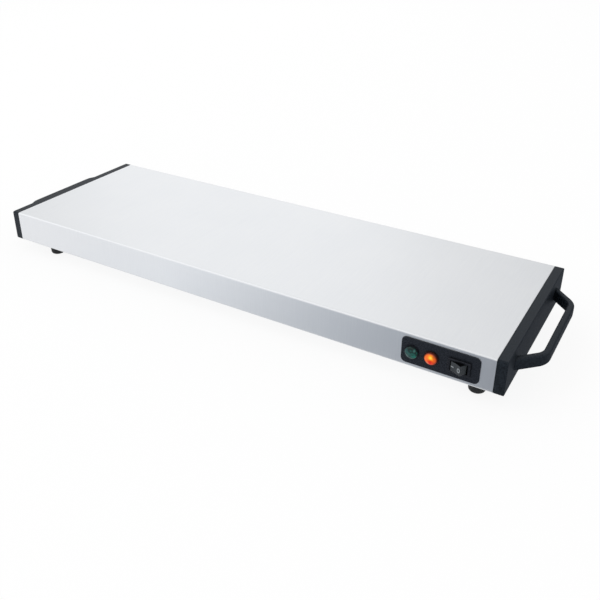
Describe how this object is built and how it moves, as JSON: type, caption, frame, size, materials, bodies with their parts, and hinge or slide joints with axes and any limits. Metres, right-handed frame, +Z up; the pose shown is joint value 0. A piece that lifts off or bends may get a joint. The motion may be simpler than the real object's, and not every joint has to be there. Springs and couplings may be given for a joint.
{
  "type": "electric food warmer tray",
  "caption": "Flat electric warming tray: folded steel cover, black end caps with bar handles, and a front control plate with rocker switch and pilot lamps.",
  "frame": {"origin": "on the table under the middle of the tray", "axes": "+X along the long side towards the end with the switch, +Y from the control plate to the rear, +Z up"},
  "size_m": [0.6684, 0.2146, 0.0517],
  "materials": {
    "steel_sheet": "satin",
    "zinc_plated_steel": "zinc plated",
    "black_plastic": "fine moulded grain",
    "plate_plastic": "satin moulded",
    "switch_plastic": "semi-gloss",
    "foot_rubber": "matte",
    "orange_lens": "clear tinted lens, lit",
    "green_lens": "clear tinted lens, unlit",
    "spreader_aluminium": "mill finish",
    "element_sheath": "heat-darkened sheath",
    "ceramic": "unglazed",
    "glass_fibre": "needled mat",
    "phenolic": "moulded phenolic",
    "earth_brass": "plain",
    "live_sleeve": "PVC sleeve",
    "neutral_sleeve": "PVC sleeve",
    "heat_sleeve": "braided glass sleeve"
  },
  "bodies": {
    "housing": {"top_cover": "steel_sheet", "base_plate": "zinc_plated_steel", "end_cap_left": "black_plastic", "end_cap_right": "black_plastic", "handle_left": "black_plastic", "handle_right": "black_plastic", "foot_front_left": "foot_rubber", "foot_front_right": "foot_rubber", "foot_rear_left": "foot_rubber", "foot_rear_right": "foot_rubber", "foot_screw_front_left": "zinc_plated_steel", "foot_screw_front_right": "zinc_plated_steel", "foot_screw_rear_left": "zinc_plated_steel", "foot_screw_rear_right": "zinc_plated_steel", "base_screw_front_left": "zinc_plated_steel", "base_screw_front_right": "zinc_plated_steel", "base_screw_rear_left": "zinc_plated_steel", "base_screw_rear_right": "zinc_plated_steel", "cap_screw_left_front": "zinc_plated_steel", "cap_screw_left_rear": "zinc_plated_steel", "cap_screw_right_front": "zinc_plated_steel", "cap_screw_right_rear": "zinc_plated_steel", "handle_screw_left_front": "zinc_plated_steel", "handle_screw_left_rear": "zinc_plated_steel", "handle_screw_right_front": "zinc_plated_steel", "handle_screw_right_rear": "zinc_plated_steel", "control_plate": "plate_plastic", "switch_body": "switch_plastic", "lamp_housing_orange": "switch_plastic", "lamp_housing_green": "switch_plastic", "lamp_lens_orange": "orange_lens", "lamp_lens_green": "green_lens", "lamp_nut_orange": "zinc_plated_steel", "lamp_nut_green": "zinc_plated_steel", "heat_spreader": "spreader_aluminium", "heating_element": "element_sheath", "element_terminal_front": "ceramic", "element_terminal_rear": "ceramic", "element_clamp_1": "zinc_plated_steel", "element_clamp_2": "zinc_plated_steel", "clamp_nut_1_front": "zinc_plated_steel", "clamp_nut_1_rear": "zinc_plated_steel", "clamp_nut_2_front": "zinc_plated_steel", "clamp_nut_2_rear": "zinc_plated_steel", "insulation_mat": "glass_fibre", "thermostat": "phenolic", "thermal_fuse": "zinc_plated_steel", "terminal_block": "ceramic", "earth_screw": "earth_brass", "earth_nut": "earth_brass", "cord_gland": "black_plastic", "gland_nut": "black_plastic", "lead_supply_live": "live_sleeve", "lead_supply_neutral": "neutral_sleeve", "lead_switch_to_element": "heat_sleeve", "lead_switch_to_thermostat": "heat_sleeve", "lead_thermostat_to_fuse": "heat_sleeve", "lead_fuse_to_element": "heat_sleeve"},
    "rocker": {"switch_rocker": "switch_plastic"}
  },
  "joints": [
    {"name": "rocker_pivot", "type": "hinge", "parent": "housing", "child": "rocker", "pos_m": [0.26835, -0.1023, 0.03315], "axis": [0, 0, 1], "range_deg": [0, 49]}
  ]
}
